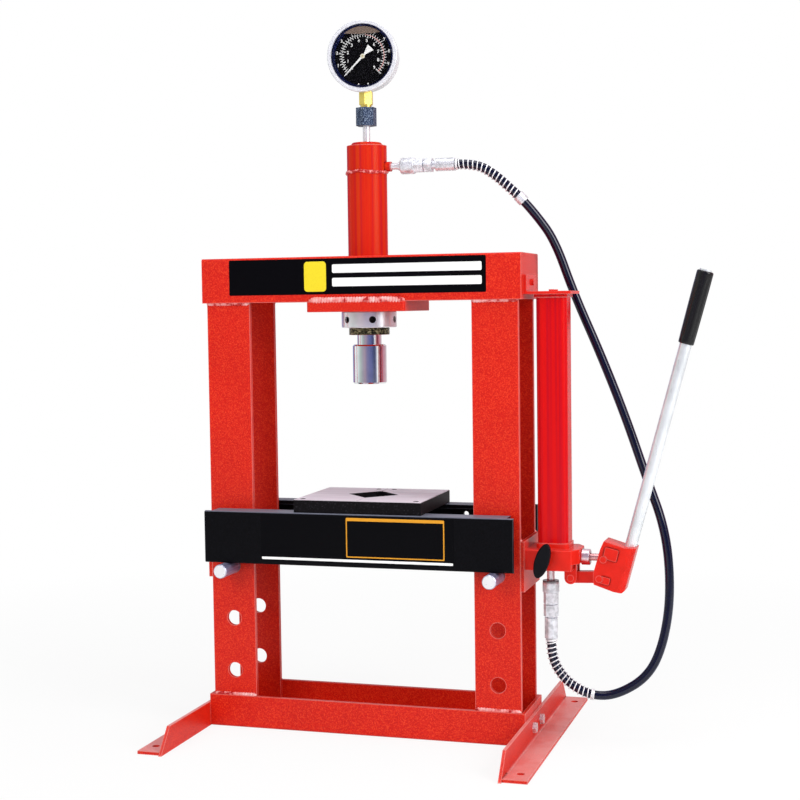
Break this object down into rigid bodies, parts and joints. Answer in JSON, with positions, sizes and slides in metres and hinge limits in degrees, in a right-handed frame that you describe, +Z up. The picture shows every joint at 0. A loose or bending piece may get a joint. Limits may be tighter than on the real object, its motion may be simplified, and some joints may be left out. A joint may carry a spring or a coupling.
{
  "type": "hydraulic shop press",
  "caption": "Benchtop hydraulic shop press with an H-frame, hand pump and hose, chromed ram, pressure gauge and a pinned bed with notched arbor plates.",
  "frame": {"origin": "on the floor at the middle of the base channel's underside", "axes": "+X points to the pump, -Y points to the operator, +Z is up"},
  "size_m": [0.7639, 0.445, 1.0156],
  "materials": {
    "red_paint": "orange-red powder coat with a fine orange-peel texture",
    "gloss_red": "glossy orange-red enamel",
    "black_paint": "satin black enamel",
    "bright_zinc": "bright zinc plate",
    "bare_steel": "ground steel, lightly oiled",
    "chrome": "polished chrome plate",
    "dark_steel": "blued dark steel",
    "brass": "turned brass",
    "black_rubber": "glossy black rubber",
    "black_plastic": "glossy black moulding",
    "seal_rubber": "oil-resistant rubber",
    "pale_gasket": "pale sealing washer",
    "clear_glass": "clear lens",
    "dial_black": "black printed dial with white scale",
    "white_paint": "white painted pointer"
  },
  "bodies": {
    "frame": {"base_channel": "red_paint", "coupler_bodies": "bright_zinc", "coupler_collars": "bright_zinc", "coupler_nipples": "bright_zinc", "cylinder_head": "gloss_red", "cylinder_ring_nut": "chrome", "cylinder_support_plate": "red_paint", "cylinder_tube": "gloss_red", "foot_bolts": "bright_zinc", "gauge_bezel": "chrome", "gauge_case": "chrome", "gauge_connection": "brass", "gauge_dial": "dial_black", "gauge_hex_nut": "dark_steel", "gauge_lens": "clear_glass", "gauge_movement": "brass", "gauge_stem": "bright_zinc", "hose_ferrules": "bright_zinc", "hose_nuts": "bright_zinc", "hydraulic_hose": "black_rubber", "left_foot": "red_paint", "left_front_upright": "red_paint", "left_rear_upright": "red_paint", "left_side_plate": "red_paint", "lower_spring_guard": "bright_zinc", "lug_pin": "gloss_red", "packing_nut": "bright_zinc", "pump_body": "gloss_red", "pump_mounting_plate": "red_paint", "pump_reservoir": "gloss_red", "pump_screws": "bright_zinc", "reservoir_bracket": "gloss_red", "reservoir_cap": "gloss_red", "reservoir_gasket": "pale_gasket", "return_spring": "bare_steel", "right_foot": "red_paint", "right_front_upright": "red_paint", "right_rear_upright": "red_paint", "rod_guide_bush": "bare_steel", "upper_beam": "red_paint", "upper_spring_guard": "bright_zinc"},
    "ram": {"piston_rod": "chrome", "piston": "bare_steel", "piston_seal": "seal_rubber", "ram_head": "chrome"},
    "bed": {"bed_front_channel": "black_paint", "bed_rear_channel": "black_paint", "bed_cross_ties": "black_paint"},
    "left_pin": {"left_bed_pin": "bright_zinc"},
    "right_pin": {"right_bed_pin": "bright_zinc"},
    "left_plate": {"left_arbor_plate": "bare_steel"},
    "right_plate": {"right_arbor_plate": "bare_steel"},
    "link": {"pump_link": "gloss_red"},
    "lever": {"lever_block": "gloss_red", "lever_pins": "gloss_red", "handle_tube": "bright_zinc", "handle_grip": "black_plastic"},
    "plunger": {"plunger": "chrome"},
    "release_valve": {"release_knob": "black_plastic"},
    "needle": {"gauge_needle": "white_paint"}
  },
  "joints": [
    {"name": "ram_slide", "type": "slide", "parent": "frame", "child": "ram", "axis": [0, 0, -1], "range_m": [0, 0.125], "stiffness_N_per_m": 300, "springref_m": -0.25, "deforming": ["return_spring"]},
    {"name": "bed_lift", "type": "slide", "parent": "frame", "child": "bed", "axis": [0, 0, 1], "range_m": [0, 0.025]},
    {"name": "left_pin_slide", "type": "slide", "parent": "frame", "child": "left_pin", "axis": [0, -1, 0], "range_m": [0, 0.15]},
    {"name": "right_pin_slide", "type": "slide", "parent": "frame", "child": "right_pin", "axis": [0, -1, 0], "range_m": [0, 0.15]},
    {"name": "left_plate_slide", "type": "slide", "parent": "bed", "child": "left_plate", "axis": [-1, 0, 0], "range_m": [0, 0.06]},
    {"name": "right_plate_slide", "type": "slide", "parent": "bed", "child": "right_plate", "axis": [1, 0, 0], "range_m": [0, 0.06]},
    {"name": "handle_swing", "type": "hinge", "parent": "link", "child": "lever", "pos_m": [0.336, -0.011, 0.2348], "axis": [0, 1, 0], "range_deg": [-12, 50]},
    {"name": "link_swing", "type": "hinge", "parent": "frame", "child": "link", "pos_m": [0.2952, -0.011, 0.2335], "axis": [0, 1, 0], "range_deg": [-12.5, 3.5]},
    {"name": "plunger_slide", "type": "slide", "parent": "frame", "child": "plunger", "axis": [1, 0, 0], "range_m": [-0.004, 0.016]},
    {"name": "release_valve_turn", "type": "hinge", "parent": "frame", "child": "release_valve", "pos_m": [0.263, -0.05, 0.262], "axis": [0, -1, 0], "range_deg": [0, 180]},
    {"name": "needle_turn", "type": "hinge", "parent": "frame", "child": "needle", "pos_m": [0.00222, -0.01887, 0.9652], "axis": [-0.1167, 0.9932, 0], "range_deg": [0, 270], "stiffness_Nm_per_rad": 0.004, "springref_deg": -11.46}
  ],
  "couplings": [
    {"joint": "link_swing", "follows": "handle_swing", "ratio": -0.235},
    {"joint": "plunger_slide", "follows": "handle_swing", "m_per_rad": 0.01775}
  ]
}
